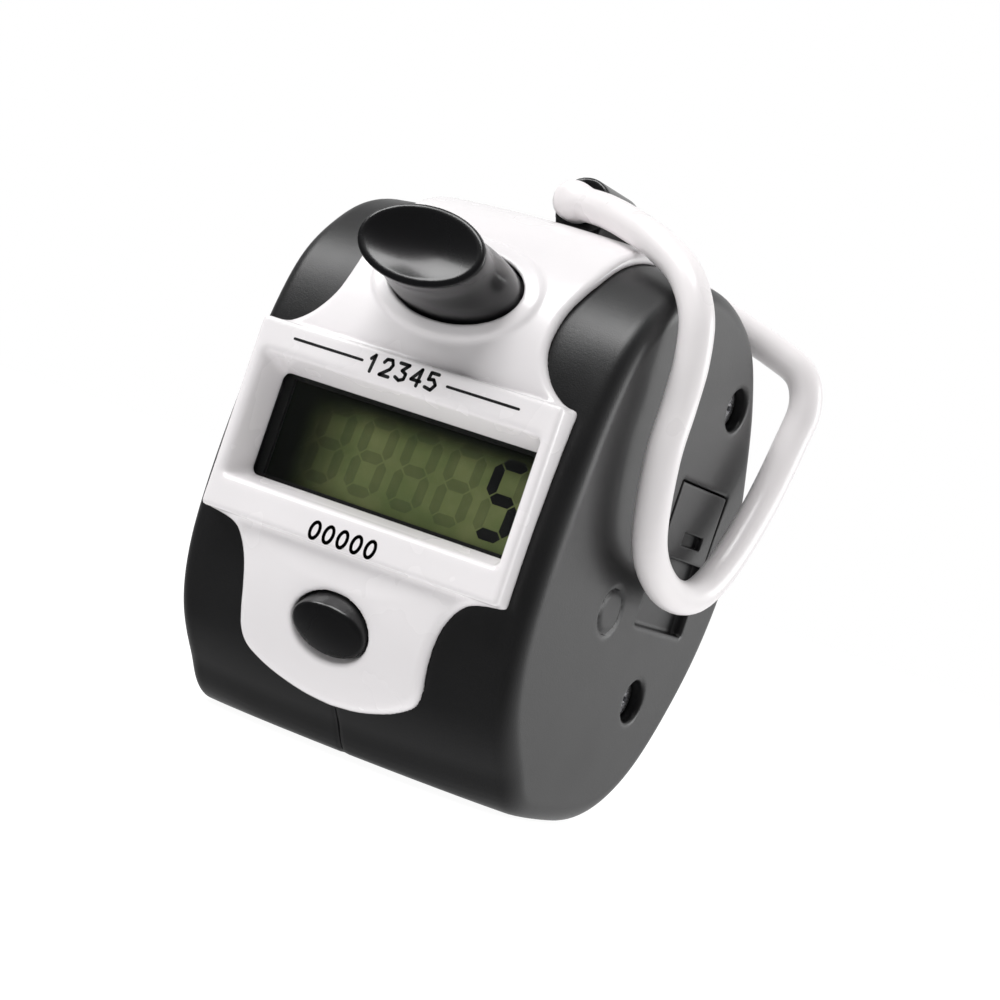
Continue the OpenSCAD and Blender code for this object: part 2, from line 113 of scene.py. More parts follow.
def path_field(points, x, y, z):
    """Distance to the centre line of a path in space."""
    nearest = np.inf
    for a, b in zip(points[:-1], points[1:]):
        edge = b - a
        along = ((x - a[0]) * edge[0] + (y - a[1]) * edge[1] + (z - a[2]) * edge[2]) / (edge @ edge)
        along = np.clip(along, 0, 1)
        nearest = np.minimum(nearest, sum((p - c - along * e) ** 2 for p, c, e in zip((x, y, z), a, edge)))
    return np.sqrt(nearest)


def spline(points, per_span, closed=False):
    """Catmull-Rom curve through the points, ends included."""
    p = np.array(points, float)
    count = len(p)
    spans = range(count) if closed else range(count - 1)
    out = []
    for i in spans:
        pick = [(i + k) % count if closed else min(max(i + k, 0), count - 1) for k in (-1, 0, 1, 2)]
        a, b, c, d = p[pick]
        for j in range(per_span):
            t = j / per_span
            out.append(0.5 * (2 * b + (c - a) * t + (2 * a - 5 * b + 4 * c - d) * t ** 2
                              + (3 * b - a - 3 * c + d) * t ** 3))
    if not closed:
        out.append(p[-1])
    return np.array(out)


# ---------------------------------------------------------------- meshing

def sample(values, at):
    """Values of a grid at fractional grid places."""
    low = np.clip(np.floor(at).astype(int), 0, np.array(values.shape) - 2)
    part = at - low
    total = 0.0
    for corner in np.ndindex(2, 2, 2):
        weight = np.prod(np.where(corner, part, 1 - part), axis=1)
        i, j, k = (low + corner).T
        total = total + weight * values[i, j, k]
    return total


def surface_net(field, low, high, step):
    """Quad mesh of a field's zero level: points and their normals in millimetres, and faces."""
    axes = [np.arange(a, b + step, step) for a, b in zip(low, high)]
    shape = tuple(len(a) for a in axes)
    values = np.array(np.broadcast_to(field(*np.meshgrid(*axes, indexing="ij", sparse=True)), shape))
    inside = values < 0
    counts = sum(inside[i:shape[0] - 1 + i, j:shape[1] - 1 + j, k:shape[2] - 1 + k].astype(np.int8)
                 for i, j, k in np.ndindex(2, 2, 2))
    active = (counts > 0) & (counts < 8)
    cells = np.argwhere(active)
    number = np.full(active.shape, -1)
    number[active] = np.arange(len(cells))
    total = np.zeros((len(cells), 3))
    hits = np.zeros(len(cells))
    for corner in np.ndindex(2, 2, 2):
        for axis in range(3):
            if corner[axis]:
                continue
            near = cells + corner
            far = near + np.eye(3, dtype=int)[axis]
            a, b = values[tuple(near.T)], values[tuple(far.T)]
            crossed = (a < 0) != (b < 0)
            place = near[crossed].astype(float)
            place[:, axis] += a[crossed] / (a[crossed] - b[crossed])
            total[crossed] += place
            hits[crossed] += 1
    at = total / hits[:, None]
    slopes = np.gradient(values)
    for _ in range(2):
        slope = np.stack([sample(s, at) for s in slopes], axis=1)
        at -= slope * (sample(values, at) / (np.sum(slope ** 2, axis=1) + 1e-9))[:, None]
    slope = np.stack([sample(s, at) for s in slopes], axis=1)
    normals = slope / (np.linalg.norm(slope, axis=1, keepdims=True) + 1e-9)
    faces = []
    for axis in range(3):
        first, second = np.eye(3, dtype=int)[(axis + 1) % 3], np.eye(3, dtype=int)[(axis + 2) % 3]
        start = np.take(inside, range(shape[axis] - 1), axis)
        end = np.take(inside, range(1, shape[axis]), axis)
        edges = np.argwhere(start != end)
        edges = edges[np.all((edges > 0) | (np.arange(3) == axis), axis=1)]
        edges = edges[np.all(edges < np.array(active.shape), axis=1)]
        around = [edges, edges - first, edges - first - second, edges - second]
        quads = np.stack([number[tuple(c.T)] for c in around], axis=1)
        flip = start[tuple(edges.T)]
        quads[flip] = quads[flip][:, ::-1]
        faces.append(quads[:, ::-1])
    return at * step + np.array(low), normals, np.concatenate(faces)


def add_mesh(name, points, faces, material, normals=None):
    """New smooth-shaded mesh object; points are in millimetres."""
    mesh = bpy.data.meshes.new(name)
    mesh.from_pydata((np.array(points) * MM).tolist(), [], [list(map(int, f)) for f in faces])
    mesh.shade_smooth()
    if normals is not None:
        mesh.normals_split_custom_set_from_vertices(normals.tolist())
    mesh.materials.append(material)
    obj = bpy.data.objects.new(name, mesh)
    bpy.context.scene.collection.objects.link(obj)
    return obj


def moulded_piece(name, field, low, high, step, material, body, replaced=None):
    """Piece meshed from a field inside the box low to high, in the place of a CAD node."""
    points, normals, faces = surface_net(field, low, high, step)
    piece = add_mesh(name, points, faces, material, normals)
    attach(piece, body)
    if replaced:
        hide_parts(replaced)
    return piece


# ---------------------------------------------------------------- materials

def new_material(name):
    material = bpy.data.materials.new(name)
    material.use_nodes = True
    nodes = material.node_tree.nodes
    return material, nodes, material.node_tree.links, nodes["Principled BSDF"]


def noise(nodes, links, size_mm, detail=3.0, stretch=(1, 1, 1)):
    """Noise whose blotches are about size_mm across, in the object's own space."""
    coords = nodes.new("ShaderNodeTexCoord")
    mapping = nodes.new("ShaderNodeMapping")
    mapping.inputs["Scale"].default_value = stretch
    texture = nodes.new("ShaderNodeTexNoise")
    texture.inputs["Scale"].default_value = 1 / (size_mm * MM)
    texture.inputs["Detail"].default_value = detail
    links.new(coords.outputs["Object"], mapping.inputs["Vector"])
    links.new(mapping.outputs["Vector"], texture.inputs["Vector"])
    return texture.outputs["Fac"]


def ramp(nodes, links, value, low, high, start=0.3, end=0.7):
    """Colour ramp from low to high over part of a value."""
    node = nodes.new("ShaderNodeValToRGB")
    for element, place, colour in zip(node.color_ramp.elements, (start, end), (low, high)):
        element.position = place
        element.color = (*colour, 1)
    links.new(value, node.inputs["Fac"])
    return node.outputs["Color"]


def spread(nodes, links, value, low, high):
    node = nodes.new("ShaderNodeMapRange")
    node.inputs["From Min"].default_value = 0.3
    node.inputs["From Max"].default_value = 0.7
    node.inputs["To Min"].default_value = low
    node.inputs["To Max"].default_value = high
    links.new(value, node.inputs["Value"])
    return node.outputs["Result"]


def bump(nodes, links, shader, height, depth_mm):
    node = nodes.new("ShaderNodeBump")
    node.inputs["Distance"].default_value = depth_mm * MM
    links.new(height, node.inputs["Height"])
    links.new(node.outputs["Normal"], shader.inputs["Normal"])


def shade(colour, factor):
    return tuple(c * factor for c in colour)


def plastic(name, colour, roughness, grain_mm, grain_depth, mottle=0.06, coat=0.0):
    """Moulded plastic: a fine grain, slightly uneven gloss and a faint mottle in its colour."""
    material, nodes, links, shader = new_material(name)
    cloud = noise(nodes, links, 9)
    grain = noise(nodes, links, grain_mm, 4)
    links.new(ramp(nodes, links, cloud, shade(colour, 1 - mottle), shade(colour, 1 + mottle)),
              shader.inputs["Base Color"])
    links.new(spread(nodes, links, cloud, roughness * 0.88, roughness * 1.12), shader.inputs["Roughness"])
    bump(nodes, links, shader, grain, grain_depth)
    shader.inputs["Coat Weight"].default_value = coat
    shader.inputs["Coat Roughness"].default_value = 0.08
    return material


def metal(name, colour, roughness, stretch=(1, 1, 14)):
    """Drawn or stamped metal with fine marks along one direction."""
    material, nodes, links, shader = new_material(name)
    marks = noise(nodes, links, 0.5, 4, stretch)
    links.new(ramp(nodes, links, marks, shade(colour, 0.82), colour), shader.inputs["Base Color"])
    links.new(spread(nodes, links, marks, roughness * 0.7, roughness * 1.4), shader.inputs["Roughness"])
    bump(nodes, links, shader, marks, 0.01)
    shader.inputs["Metallic"].default_value = 1.0
    return material


def circuit_board(name):
    """Green solder resist over a faint grid of copper tracks."""
    material, nodes, links, shader = new_material(name)
    coords = nodes.new("ShaderNodeTexCoord")
    tracks = nodes.new("ShaderNodeTexBrick")
    tracks.inputs["Scale"].default_value = 300
    tracks.inputs["Mortar Size"].default_value = 0.06
    tracks.inputs["Color1"].default_value = (0.02, 0.13, 0.05, 1)
    tracks.inputs["Color2"].default_value = (0.025, 0.15, 0.06, 1)
    tracks.inputs["Mortar"].default_value = (0.07, 0.3, 0.11, 1)
    links.new(coords.outputs["Object"], tracks.inputs["Vector"])
    links.new(tracks.outputs["Color"], shader.inputs["Base Color"])
    bump(nodes, links, shader, tracks.outputs["Fac"], 0.03)
    links.new(spread(nodes, links, noise(nodes, links, 2), 0.28, 0.42), shader.inputs["Roughness"])
    return material


def clear_lens(name):
    material, nodes, links, shader = new_material(name)
    film = noise(nodes, links, 6)
    links.new(ramp(nodes, links, film, (0.03, 0.035, 0.03), (0.05, 0.055, 0.05)), shader.inputs["Base Color"])
    links.new(spread(nodes, links, film, 0.03, 0.07), shader.inputs["Roughness"])
    shader.inputs["Alpha"].default_value = 0.06
    shader.inputs["IOR"].default_value = 1.49
    return material


def display_glass(name, low, high):
    """Olive liquid crystal, with painted shade that darkens it towards the left and upper edges of the viewing area,
    where the window's recess shades it.
    """
    material, nodes, links, shader = new_material(name)
    coords = nodes.new("ShaderNodeTexCoord")
    split = nodes.new("ShaderNodeSeparateXYZ")
    links.new(coords.outputs["Object"], split.inputs["Vector"])
    # painted shade of the window's recess, fading out along X and along Z
    fades = []
    for axis, dark, light in (("X", LCD_PAINTED_SHADE_X[0], LCD_PAINTED_SHADE_X[1]), ("Z", LCD_PAINTED_SHADE_Z[0], LCD_PAINTED_SHADE_Z[1])):
        fade = nodes.new("ShaderNodeMapRange")
        fade.interpolation_type = "SMOOTHSTEP"
        fade.inputs["From Min"].default_value = dark * MM
        fade.inputs["From Max"].default_value = light * MM
        links.new(split.outputs[axis], fade.inputs["Value"])
        fades.append(fade.outputs["Result"])
    both = nodes.new("ShaderNodeMath")
    both.operation = "MULTIPLY"
    links.new(fades[0], both.inputs[0])
    links.new(fades[1], both.inputs[1])
    green = ramp(nodes, links, noise(nodes, links, 3.5), low, high)
    # near-black colour that the painted shade darkens the display to
    mix = nodes.new("ShaderNodeMixRGB")
    mix.inputs["Color1"].default_value = (0.002, 0.0025, 0.0015, 1)
    links.new(both.outputs["Value"], mix.inputs["Fac"])
    links.new(green, mix.inputs["Color2"])
    links.new(mix.outputs["Color"], shader.inputs["Base Color"])
    shader.inputs["Roughness"].default_value = 0.35
    shader.inputs["Specular IOR Level"].default_value = 0.12
    return material


LCD_PAINTED_SHADE_X = (-13.2, -4.2)   # painted shade: the display brightens from the first to the second of these
LCD_PAINTED_SHADE_Z = (34.5, 31.0)

MATERIALS = {
    "shell_plastic": plastic("black_satin_abs", (0.0105, 0.0105, 0.011), 0.37, 0.16, 0.016),
    "plate_plastic": plastic("white_gloss_abs", (0.84, 0.815, 0.825), 0.26, 0.9, 0.004, 0.012, 0.25),
    "key_plastic": plastic("black_gloss_abs", (0.005, 0.005, 0.0055), 0.27, 0.5, 0.003, 0.08, 0.1),
    "ring_plastic": plastic("white_ring_plastic", (0.84, 0.81, 0.815), 0.3, 1.1, 0.006, 0.014, 0.15),
    "lens_clear": clear_lens("clear_lens_acrylic"),
    # olive display, darkened at its left and top edges by painted shade
    "lcd_glass": display_glass("olive_display_cell", (0.15, 0.195, 0.07), (0.23, 0.262, 0.105)),
    "reflector_foil": metal("reflector_film", (0.72, 0.72, 0.68), 0.4),
    "frame_plastic": plastic("inner_black_plastic", (0.009, 0.009, 0.009), 0.5, 0.3, 0.01),
    "silicone": plastic("grey_silicone", (0.2, 0.21, 0.22), 0.62, 0.25, 0.01),
    "circuit_board": circuit_board("green_circuit_board"),
    "chip_resin": plastic("black_epoxy", (0.01, 0.01, 0.01), 0.22, 0.8, 0.01),
    "component_bodies": plastic("component_bodies", (0.12, 0.08, 0.05), 0.4, 0.2, 0.008),
    "screw_steel": metal("zinc_plated_steel", (0.62, 0.62, 0.64), 0.3),
    "spring_steel": metal("spring_wire", (0.6, 0.6, 0.63), 0.25),
    "cell_steel": metal("nickel_plated_can", (0.75, 0.74, 0.72), 0.16),
    "contact_metal": metal("spring_brass", (0.85, 0.62, 0.27), 0.28),
    "wire_sheath": plastic("red_wire_sheath", (0.4, 0.03, 0.02), 0.35, 0.3, 0.004),
}
INK = plastic("black_print", (0.01, 0.01, 0.011), 0.45, 0.1, 0.002)
SEGMENT_DARK = plastic("lit_segments", (0.003, 0.003, 0.004), 0.4, 0.4, 0.001)
# ghost segments carry the same painted recess shade as the display
SEGMENT_FAINT = display_glass("unlit_segments", (0.115, 0.15, 0.058), (0.165, 0.19, 0.078))


# ---------------------------------------------------------------- casing shells

CASE_W = 40.5
WALL = 1.8
EDGE_R = 2.2
CROWN = 0.9
FLAT_X = CASE_W / 2 - EDGE_R
OUTLINE = spline([[-6, -0.1], [5, -0.1], [12, 1.8], [17.5, 6], [21.6, 12.2], [24.8, 20], [26, 28], [25, 35],
                  [22, 41.5], [17.8, 48.3], [12.5, 53.7], [6, 56.3], [-0.5, 56.8], [-6.5, 55.5], [-11.2, 52.6],
                  [-15.4, 47.8], [-17.6, 41], [-18.6, 32], [-18.9, 22.5], [-18.2, 15], [-15.8, 8.9],
                  [-11.3, 3.9]], 8, closed=True)
GAP = 0.05
INNER_W = 33.6
INNER_Z = (20.7, 38.5)
SCREW_AT = ((12.5, 46.5), (11, 14))
WELL_R = 2.3
WELL_DEPTH = 2.6
BOSS_R = 2.9
DOOR_Y = (5.2, 17.6)
DOOR_Z = (29.6, 37.6)
DOOR_T = 1.1
DOOR_TRAVEL = 7.6
BAY_Y = (5.4, 17.4)
BAY_Z = (30.7, 36.7)
NOTCH_Y = (9.8, 14.8)
NOTCH_Z = (31.2, 32.6)
BARREL_Y = (3, 11.8)
BARREL_R = 3.2
PIVOT_Z = 61.8


def crown(x):
    return CROWN * (1 - (np.minimum(np.abs(x), FLAT_X) / FLAT_X) ** 2)


def casing(x, y, z, grow=0.0, radius=EDGE_R):
    """The casing's outer form, grown by some depth."""
    return round_both(polygon_field(OUTLINE, y, z) - crown(x) - grow, np.abs(x) - CASE_W / 2 - grow, radius)


def front_opening(x, y, z):
    window = rectangle_field(x, z, (-INNER_W / 2 - 0.1, INNER_Z[0] - 0.1), (INNER_W / 2 + 0.1, INNER_Z[1] + 0.1))
    above = rectangle_field(x, z, (-11.2, INNER_Z[1] - 1), (11.2, 60))
    below = rectangle_field(x, z, (-8.7, 7.6), (8.7, INNER_Z[0] + 1))
    return np.minimum(np.maximum(np.minimum(window, below), y + 9.5), np.maximum(above, y + 7))


def pivot_socket(x, y, z):
    return box_field(x, y, z, (-2.7, BARREL_Y[0] + 0.3, 50), (2.7, BARREL_Y[1] - 0.3, 60))


def shell(side):
    """Field of one casing shell: side is 1 on the right and -1 on the left."""
    def field(x, y, z):
        out = side * x
        body = cut(casing(x, y, z), casing(x, y, z, -WALL, 1.2), 0.2)
        for at_y, at_z in SCREW_AT:
            radial = np.hypot(y - at_y, z - at_z)
            body = np.minimum(body, np.maximum(np.maximum(radial - BOSS_R, out - CASE_W / 2 + 1), -out))
            if side > 0:
                body = cut(body, np.maximum(radial - WELL_R, CASE_W / 2 - WELL_DEPTH - out), 0.3)
        if side > 0:
            thick = box_field(x, y, z, (15.6, DOOR_Y[0] - 2, 20.5), (CASE_W / 2 - 1, DOOR_Y[1] + 2, 39))
            body = np.minimum(body, thick)
            low = DOOR_Z[0] - DOOR_TRAVEL - 0.1
            track = box_field(x, y, z, (CASE_W / 2 - DOOR_T - 0.15, DOOR_Y[0], low),
                              (CASE_W / 2 + 2, DOOR_Y[1], DOOR_Z[1]))
            bay = box_field(x, y, z, (14.6, BAY_Y[0], BAY_Z[0]), (CASE_W / 2 + 2, BAY_Y[1], BAY_Z[1]))
            body = cut(body, np.minimum(track, bay), 0.25)
            body = cut(body, moulding_ring(x, y, z), 0.1)
        body = cut(body, front_opening(x, y, z), 0.3)
        body = cut(body, pivot_socket(x, y, z), 0.3)
        body = round_both(body, GAP / 2 - out, 0.22)
        return round_both(body, -z, 0.3)
    return field


def moulding_ring(x, y, z):
    """Shallow round groove on the right side face, such as an ejector pin leaves."""
    radial = np.abs(np.hypot(y + 1.6, z - 22.4) - 2.4) - 0.18
    return np.maximum(radial, CASE_W / 2 - 0.25 - x)


for side, label in ((1, "right"), (-1, "left")):
    reach = CASE_W / 2 + 0.6
    moulded_piece(f"{label}_shell_moulding", shell(side),
                  (-0.8 if side > 0 else -reach, -21, -0.8), (reach if side > 0 else 0.8, 27.6, 58.4),
                  0.32, MATERIALS["shell_plastic"], "case", f"{label}_shell")


# ---------------------------------------------------------------- buttons' places

COUNT_AT = (-17.2, 48.4)
COUNT_LEAN = math.radians(11)
RESET_AT = (-19.6, 11.9)
RESET_LEAN = math.radians(-40)
COUNT_W, COUNT_H, COUNT_TOP, COUNT_STOP = 14.6, 8.6, 9.8, -6.8
RESET_W, RESET_H, RESET_PROUD, RESET_STOP = 8.8, 6.3, 0.6, -3.4
RUN = 0.2
GUIDE_T = 1.1
COUNT_REACH, RESET_REACH = 6, 3   # how far in front of their points the guides may start
COUNT_BOARD, RESET_BOARD = -14, -8   # front faces of the switch boards, along the axes
COUNT_POST_X, RESET_POST_X, POST_R = 9.7, 7.1, 1.3
PAD_W, PAD_H, PAD_RISE = 18.8, 12.4, 0.5


def on_axis(at, lean, y, z):
    """Distance across and along an axis that leaves the point at, towards the front and leaning up."""
    across = (y - at[0]) * math.sin(lean) + (z - at[1]) * math.cos(lean)
    along = (z - at[1]) * math.sin(lean) - (y - at[0]) * math.cos(lean)
    return across, along


# ---------------------------------------------------------------- face plate

PLATE_T = 1.2
BEZEL_W = 35.3
BEZEL_Y = -21.5
BEZEL_Z = (19.6, 39.7)
INNER_BACK = -17.2
SKIN_SETBACK = 0.9   # how far the plate's skin stays behind the bezel's face
PLATE_TOP_Y = -0.5
WINDOW_FRONT = (16.4, 23.1, 36.5)   # half width, low and high edge at the front of the recess
WINDOW_BACK = (15.3, 24.2, 34.7)
TONGUE = [[0, 4.6], [3.2, 4.9], [6.4, 5.7], [8.6, 6.6], [10.1, 7.6], [10.8, 9], [11, 10.8], [11.2, 13.2],
          [11.7, 15.6], [12.7, 17.6], [14.2, 18.9], [17.5, 19.6]]
NECK = [[17.5, 39.7], [15.8, 40.2], [13.8, 41.8], [12.3, 44.4], [11.9, 47.5], [12.1, 50.1], [12.4, 52.5], [12.5, 55],
        [12.5, 60]]


def plate_outline():
    """Closed outline of the plate seen from the front, as [X, Z] points."""
    half = np.concatenate([spline(TONGUE, 6), spline(NECK, 6)])
    return np.concatenate([half, half[:0:-1] * [-1, 1]])


PLATE_OUTLINE = plate_outline()


def button_guide(x, across, along, width, height, stop, reach):
    """Oval sleeve behind the plate that guides a button."""
    return np.maximum(oval_field(x, across, width + 2 * (RUN + GUIDE_T), height + 2 * (RUN + GUIDE_T)),
                      np.maximum(stop - along, along - reach))


def window(x, y, z):
    depth = np.clip((y - BEZEL_Y) / (INNER_BACK - BEZEL_Y), -0.3, 1)
    half, low, high = (a + (b - a) * depth for a, b in zip(WINDOW_FRONT, WINDOW_BACK))
    return round_both(np.abs(x) - half, np.abs(z - (low + high) / 2) - (high - low) / 2, 0.7)


def face_plate(x, y, z):
    form = polygon_field(OUTLINE, y, z) - crown(x)
    skin = round_both(form - GAP - PLATE_T, polygon_field(PLATE_OUTLINE, x, z), 0.75)
    skin = round_both(skin, y - PLATE_TOP_Y, 0.6)
    skin = np.maximum(skin, BEZEL_Y + SKIN_SETBACK - y)
    bezel = box_field(x, y, z, (-BEZEL_W / 2, BEZEL_Y, BEZEL_Z[0]), (BEZEL_W / 2, -15, BEZEL_Z[1]), 0.45)
    body = round_either(skin, bezel, 0.35)
    across, along = on_axis(COUNT_AT, COUNT_LEAN, y, z)
    pad = round_both(oval_field(x, across, PAD_W, PAD_H), form - GAP - PLATE_T - PAD_RISE, 0.45)
    body = round_either(body, np.maximum(pad, np.abs(along) - 6), 0.4)
    body = cut(body, form - GAP, 0.1)
    rim = box_field(x, y, z, (-INNER_W / 2, BEZEL_Y + 1, INNER_Z[0]), (INNER_W / 2, INNER_BACK, INNER_Z[1]))
    body = np.minimum(body, rim)
    reset_across, reset_along = on_axis(RESET_AT, RESET_LEAN, y, z)
    under_skin = form - 0.5
    guide = button_guide(x, across, along, COUNT_W, COUNT_H, COUNT_STOP, COUNT_REACH)
    body = np.minimum(body, np.maximum(guide, under_skin))
    guide = button_guide(x, reset_across, reset_along, RESET_W, RESET_H, RESET_STOP, RESET_REACH)
    body = np.minimum(body, np.maximum(guide, under_skin))
    for a, b, post_x, end in ((across, along, COUNT_POST_X, COUNT_BOARD),
                              (reset_across, reset_along, RESET_POST_X, RESET_BOARD)):
        post = np.maximum(np.hypot(np.abs(x) - post_x, a) - POST_R, end - b)
        body = np.minimum(body, np.maximum(post, under_skin))
    body = cut(body, np.maximum(window(x, y, z), y - INNER_BACK - 1), 0.55)
    body = cut(body, oval_field(x, across, COUNT_W + 2 * RUN, COUNT_H + 2 * RUN), 0.35)
    return cut(body, np.maximum(oval_field(x, reset_across, RESET_W + 2 * RUN, RESET_H + 2 * RUN),
                                -reset_along - 4), 0.3)


moulded_piece("face_plate_moulding", face_plate, (-18.4, -22.4, 3.2), (18.4, 0.6, 60.4), 0.25,
              MATERIALS["plate_plastic"], "case", "face_plate")


# ---------------------------------------------------------------- buttons

def count_button(x, y, z):
    across, along = on_axis(COUNT_AT, COUNT_LEAN, y, z)
    waist = 0.45 * np.exp(-((along - 6.4) / 2.6) ** 2)
    side = oval_field(x, across, COUNT_W, COUNT_H) + waist
    dish = 0.95 * np.clip(1 - (2 * x / (COUNT_W - 1.6)) ** 2 - (2 * across / (COUNT_H - 1.6)) ** 2, 0, 1)
    body = round_both(side, along - COUNT_TOP + dish, 0.5)
    body = np.maximum(body, COUNT_STOP - 0.05 - along)
    flange = np.maximum(oval_field(x, across, COUNT_W + 1.8, COUNT_H + 1.8), np.abs(along - COUNT_STOP + 0.55) - 0.5)
    stem = np.maximum(np.hypot(x, across) - 1.5, np.abs(along + 8.6) - 1.3)
    return np.minimum(np.minimum(body, flange), stem)


def reset_button(x, y, z):
    across, along = on_axis(RESET_AT, RESET_LEAN, y, z)
    dome_r = 18
    dome = np.sqrt(x ** 2 + across ** 2 + (along - RESET_PROUD + dome_r) ** 2) - dome_r
    body = round_both(oval_field(x, across, RESET_W, RESET_H), dome, 0.35)
    body = np.maximum(body, RESET_STOP - 0.05 - along)
    flange = np.maximum(oval_field(x, across, RESET_W + 1.4, RESET_H + 1.4), np.abs(along - RESET_STOP + 0.45) - 0.4)
    stem = np.maximum(np.hypot(x, across) - 1.3, np.abs(along + 4.4) - 0.6)
    return np.minimum(np.minimum(body, flange), stem)


moulded_piece("count_button_moulding", count_button, (-9, -29, 41), (9, -6.4, 56), 0.2,
              MATERIALS["key_plastic"], "count_key", "count_button")
moulded_piece("reset_button_moulding", reset_button, (-5.6, -22.4, 6), (5.6, -14, 19), 0.18,
              MATERIALS["key_plastic"], "reset_key", "reset_button")


# ---------------------------------------------------------------- finger ring and pivot

RING_R = 1.8
RING_MID_Y = (BARREL_Y[0] + BARREL_Y[1]) / 2
RING_X = 23.4
PIN_R, PIN_LEN, PIN_FIT = 1.2, 2.8, 0.06
# Knots from the ring's front end, down its front arm, round the loop and back up
RING_KNOTS = [[0, 1.1, 61.8], [5, -1.4, 61.4], [10, -4.3, 60.3], [15, -7.1, 58.75], [19.6, -9.2, 56.4],
              [22.5, -10, 52.8], [RING_X, -9.6, 48.5], [RING_X, -9, 44], [RING_X, -8.6, 38], [RING_X, -5.2, 30.2],
              [RING_X, 1.5, 26.5], [RING_X, 9, 26.3], [RING_X, 14.2, 29.7], [RING_X, 19, 37.3],
              [RING_X, 21.8, 45.5], [RING_X, 22.4, 49.8], [21.9, 22, 52.9], [18.5, 21, 54.4], [14, 19.3, 55.8],
              [9, 17.3, 57.6], [4, 15.2, 60.6], [0, 13.7, 61.8]]
RING_ROUTE = spline(RING_KNOTS, 6)


def finger_ring(x, y, z):
    body = path_field(RING_ROUTE, x, y, z) - RING_R
    radial = np.hypot(x, z - PIVOT_Z)
    out = np.abs(y - RING_MID_Y) - (BARREL_Y[1] - BARREL_Y[0]) / 2
    boss = round_both(radial - RING_R - 0.3, np.abs(out - 1.8) - 1.7, 0.7)
    body = round_either(body, boss, 0.8)
    body = np.maximum(body, np.minimum(0.1 - out, 8 - x))
    pin = np.maximum(radial - PIN_R, np.abs(out + PIN_LEN / 2 - 0.5) - PIN_LEN / 2 - 0.5)
    return np.minimum(body, pin)


def pivot_block(x, y, z):
    radial = np.hypot(x, z - PIVOT_Z)
    mid, half = RING_MID_Y, (BARREL_Y[1] - BARREL_Y[0]) / 2
    barrel = round_both(radial - BARREL_R, np.abs(y - mid) - half, 0.35)
    neck = box_field(x, y, z, (-2.6, BARREL_Y[0] + 0.4, 53.2), (2.6, BARREL_Y[1] - 0.4, PIVOT_Z))
    foot = box_field(x, y, z, (-4.4, BARREL_Y[0] - 0.6, 51.2), (4.4, BARREL_Y[1] + 0.6, 53.2))
    body = np.minimum(round_either(barrel, neck, 0.6), foot)
    return cut(body, np.maximum(radial - PIN_R - PIN_FIT, half - PIN_LEN - 0.4 - np.abs(y - mid)), 0.15)


moulded_piece("finger_ring_moulding", finger_ring, (-3.2, -12.6, 23.6), (25.8, 25, 64.6), 0.33,
              MATERIALS["ring_plastic"], "ring", "finger_ring")
moulded_piece("pivot_block_moulding", pivot_block, (-5, 1.5, 50.5), (5, 13.2, 65.6), 0.25,
              MATERIALS["key_plastic"], "case", "ring_pivot_block")


# ---------------------------------------------------------------- battery door

def battery_door(x, y, z):
    plate = box_field(x, y, z, (CASE_W / 2 - DOOR_T, DOOR_Y[0] + 0.12, DOOR_Z[0]),
                      (CASE_W / 2, DOOR_Y[1] - 0.12, DOOR_Z[1] - 0.12), 0.2)
    tongues = box_field(x, y, z, (CASE_W / 2 - DOOR_T, DOOR_Y[0] - 0.38, DOOR_Z[0]),
                        (CASE_W / 2 - 0.62, DOOR_Y[1] + 0.38, DOOR_Z[1] - 0.12))
    notch = box_field(x, y, z, (CASE_W / 2 - 0.6, NOTCH_Y[0], NOTCH_Z[0]),
                      (CASE_W / 2 + 1, NOTCH_Y[1], NOTCH_Z[1]), 0.15)
    return cut(np.minimum(plate, tongues), notch, 0.12)


moulded_piece("battery_door_moulding", battery_door, (18.5, 4.2, 28.8), (20.8, 18.6, 38.2), 0.12,
              MATERIALS["shell_plastic"], "door", "battery_door")


# ---------------------------------------------------------------- prints and display segments

def flat_shapes(name, shapes, front, back, material):
    """Thin raised shapes that face the front, each a list of [X, Z] points going anticlockwise."""
    points, faces = [], []
    for shape in shapes:
        start, n = len(points), len(shape)
        points += [(u, front, v) for u, v in shape] + [(u, back, v) for u, v in shape]
        faces.append([start + i for i in range(n)])
        faces.append([start + n + i for i in reversed(range(n))])
        faces += [[start + i, start + n + i, start + n + (i + 1) % n, start + (i + 1) % n] for i in range(n)]
    piece = add_mesh(name, points, faces, material)
    for polygon in piece.data.polygons:
        polygon.use_smooth = False
    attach(piece, "case")
    return piece


def stroke(a, b, width):
    """Bar with round ends from a to b."""
    a, b = np.array(a, float), np.array(b, float)
    angle = math.atan2(b[1] - a[1], b[0] - a[0])
    turns = np.linspace(-90, 90, 7)
    ends = [b + width / 2 * np.array([math.cos(angle + math.radians(t)), math.sin(angle + math.radians(t))])
            for t in turns]
    ends += [a - width / 2 * np.array([math.cos(angle + math.radians(t)), math.sin(angle + math.radians(t))])
             for t in turns]
    return ends


# Numerals as lines through points in a box one wide and one high
NUMERALS = {"0": [(math.cos(a) / 2 + 0.5, math.sin(a) / 2 + 0.5) for a in np.linspace(0, 2 * math.pi, 17)],
            "1": [(0.2, 0.75), (0.55, 1), (0.55, 0)],
            "2": [(0, 0.76), (0.2, 0.97), (0.75, 1), (1, 0.74), (0.85, 0.45), (0, 0), (1, 0)],
            "3": [(0, 1), (1, 1), (0.45, 0.6), (0.95, 0.46), (0.95, 0.14), (0.5, 0), (0, 0.14)],
            "4": [(0.78, 0), (0.78, 1), (0, 0.3), (1, 0.3)],
            "5": [(0.95, 1), (0.12, 1), (0.08, 0.58), (0.62, 0.64), (1, 0.36), (0.7, 0.02), (0, 0.1)]}


